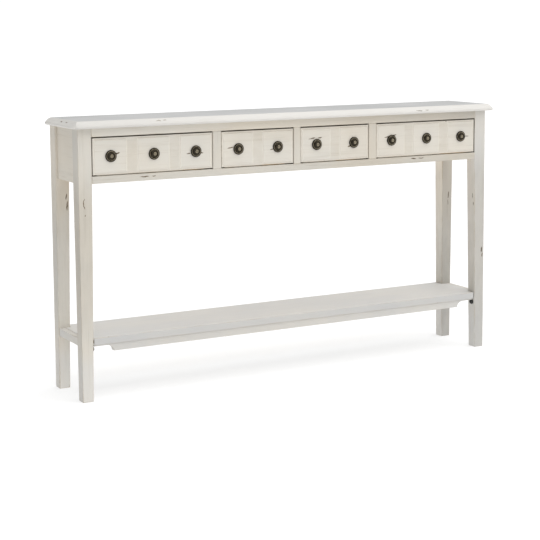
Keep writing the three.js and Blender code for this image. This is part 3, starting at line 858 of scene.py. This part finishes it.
def bolt(node, material):
    """A washer and a domed head with a socket, seen in the inner face of a leg."""
    low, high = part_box(node)
    r = (high.z - low.z) / 2
    out = high.x - low.x
    side = 1 if low.x < 0 else -1
    base = low.x if side > 0 else high.x
    washer = 1.8 * MM
    head, socket = 0.8 * r, 0.34 * r
    shoulder = (head, 0.68 * out)
    profile = [(0, 0, 0), (r - 0.3 * MM, 0, 0), (r, 0.4 * MM, 0.4)]
    profile += [(r, washer - 0.3 * MM, 1), (r - 0.4 * MM, washer, 0.8)]
    profile += [(head + 0.2 * MM, washer, 0), (head, washer + 0.3 * MM, 0), (*shoulder, 0.3)]
    dome = curve_points(shoulder, (head, out), (socket + 0.6 * MM, out), 8)
    profile += [(*point, 0.8) for point in dome]
    profile += [(socket, out - 0.5 * MM, 1), (socket, 0.5 * out, 0), (0, 0.45 * out, 0)]
    centre = (base, (low.y + high.y) / 2, (low.z + high.z) / 2)
    turned(f"turned_{node}", profile, centre, (side, 0, 0), material, node, around=36)


def wooden(node, material):
    """A CAD board that keeps its shape, with eased edges and bare wood."""
    piece = frame["nodes"][node]
    for slot in piece.material_slots:
        slot.material = material
    ease = piece.modifiers.new("eased_edges", "BEVEL")
    ease.width = PINE_ARRIS
    ease.segments = 2
    ease.harden_normals = True


cross_paint = painted("paint_cross_rails", "Y", CHIPS["cross_rails"])
divider_tones = [(0.7, 0.9), (0.84, 0.9)]
post_paint = painted("paint_dividers", "Z", stops=divider_tones, gap=DIVIDER_CREAM)
# painted shade along the bottom rail, darker towards its right end
bottom_rail_shade = [(-0.75, 0.85), (-0.2, 0.88), (0.75, 0.755)]
# painted light on the top rail's left and middle, and painted shade towards its right end under the top's
# overhang
top_rail_light_and_shade = [(-0.75, 1.04), (-0.2, 1.07), (0.05, 1.01), (0.75, 0.77)]
top_rail_paint = painted("paint_front_top_rail", "X", stops=top_rail_light_and_shade, gap=GAP_CREAM)
bottom_rail_paint = painted(
    "paint_front_bottom_rail", "X", CHIPS["front_bottom_rail"], stops=bottom_rail_shade, gap=GAP_CREAM
)

table_top()
for side in ("left", "right"):
    for end in ("front", "rear"):
        leg(f"leg_{end}_{side}")
    plain_board(f"apron_{side}", "Y", cross_paint)
plain_board("apron_rear", "X", painted("paint_rear_apron", "X", CHIPS["apron_rear"]))
plain_board("front_top_rail", "X", top_rail_paint)
plain_board("front_bottom_rail", "X", bottom_rail_paint)
for side in ("left", "middle", "right"):
    plain_board(f"divider_{side}", "Z", post_paint)
shelf()

bolt_steel = black_steel()
knob_bronze = bronze()
wood_along = pine("pine_along", "Y")
wood_across = pine("pine_across", "X")
for node in node_slot:
    if node.startswith("shelf_bolt"):
        bolt(node, bolt_steel)
    elif "_knob_" in node:
        knob(node, knob_bronze)
    elif node.startswith("runner") or "_side_" in node:
        wooden(node, wood_along)
    elif node.endswith("_bottom") or node.endswith("_back"):
        wooden(node, wood_across)
for number in range(1, 5):
    knobs = sum(node.startswith(f"drawer_{number}_knob") for node in node_slot)
    drawer_front(number, knobs)


# ---------------------------------------------------------------- floor, light and camera

def studio_floor():
    """A wide white floor, partly self-lit, so the shadow on it is faint."""
    mesh = bpy.data.meshes.new("floor")
    reach = 40.0
    corners = [(-reach, -reach, 0), (reach, -reach, 0), (reach, reach, 0), (-reach, reach, 0)]
    mesh.from_pydata(corners, [], [(0, 1, 2, 3)])
    floor = in_scene("floor", mesh)
    s = Shader("pale_floor")
    tone = s.mix(s.noise(2.0), srgb(186, 186, 186), srgb(188, 188, 188))
    mesh.materials.append(s.finish(
        Base_Color=tone, Roughness=0.9, Specular_IOR_Level=0.0,
        Emission_Color=(1.0, 1.0, 1.0, 1.0), Emission_Strength=0.56,
    ))


def studio_light():
    """A soft surround, dimmer on the left, that looks white itself, and one very broad lamp
    from the upper front."""
    world = bpy.data.worlds.new("studio")
    bpy.context.scene.world = world
    world.use_nodes = True
    tree = world.node_tree
    surround = tree.nodes["Background"]
    surround.inputs["Color"].default_value = (0.97, 0.985, 1.0, 1.0)
    place = tree.nodes.new("ShaderNodeTexCoord")
    split = tree.nodes.new("ShaderNodeSeparateXYZ")
    side = tree.nodes.new("ShaderNodeMapRange")
    for key, value in (("From Min", -1.0), ("From Max", 0.3), ("To Min", 0.24), ("To Max", 0.74)):
        side.inputs[key].default_value = value
    tree.links.new(place.outputs["Generated"], split.inputs[0])
    tree.links.new(split.outputs["X"], side.inputs["Value"])
    tree.links.new(side.outputs[0], surround.inputs["Strength"])
    seen = tree.nodes.new("ShaderNodeBackground")
    seen.inputs["Color"].default_value = (1.0, 1.0, 1.0, 1.0)
    seen.inputs["Strength"].default_value = 1.05
    path = tree.nodes.new("ShaderNodeLightPath")
    mix = tree.nodes.new("ShaderNodeMixShader")
    tree.links.new(path.outputs["Is Camera Ray"], mix.inputs[0])
    tree.links.new(surround.outputs[0], mix.inputs[1])
    tree.links.new(seen.outputs[0], mix.inputs[2])
    tree.links.new(mix.outputs[0], tree.nodes["World Output"].inputs[0])

    data = bpy.data.lights.new("soft_key", "SUN")
    data.energy = 2.1
    data.angle = math.radians(90)
    data.color = (1.0, 0.995, 0.98)
    lamp = in_scene("soft_key", data)
    lamp.rotation_euler = Vector((0.25, -0.35, 1.0)).to_track_quat("Z", "Y").to_euler()


def camera():
    """The main view: from the left of the front, a little above the top."""
    place = (-2.380, -4.219, 1.198)
    yaw, pitch, roll = (math.radians(angle) for angle in (28.96, -6.89, -0.36))
    data = bpy.data.cameras.new("camera")
    data.lens = 96.02
    data.shift_y = -0.15
    data.clip_end = 200
    turn = Matrix.Rotation(-yaw, 4, "Z") @ Matrix.Rotation(math.pi / 2 + pitch, 4, "X")
    turn = turn @ Matrix.Rotation(roll, 4, "Z")
    view = in_scene("camera", data)
    view.matrix_world = Matrix.Translation(place) @ turn
    bpy.context.scene.camera = view


studio_floor()
studio_light()
camera()
bpy.context.scene.view_settings.view_transform = "Standard"

bpy.context.view_layer.update()
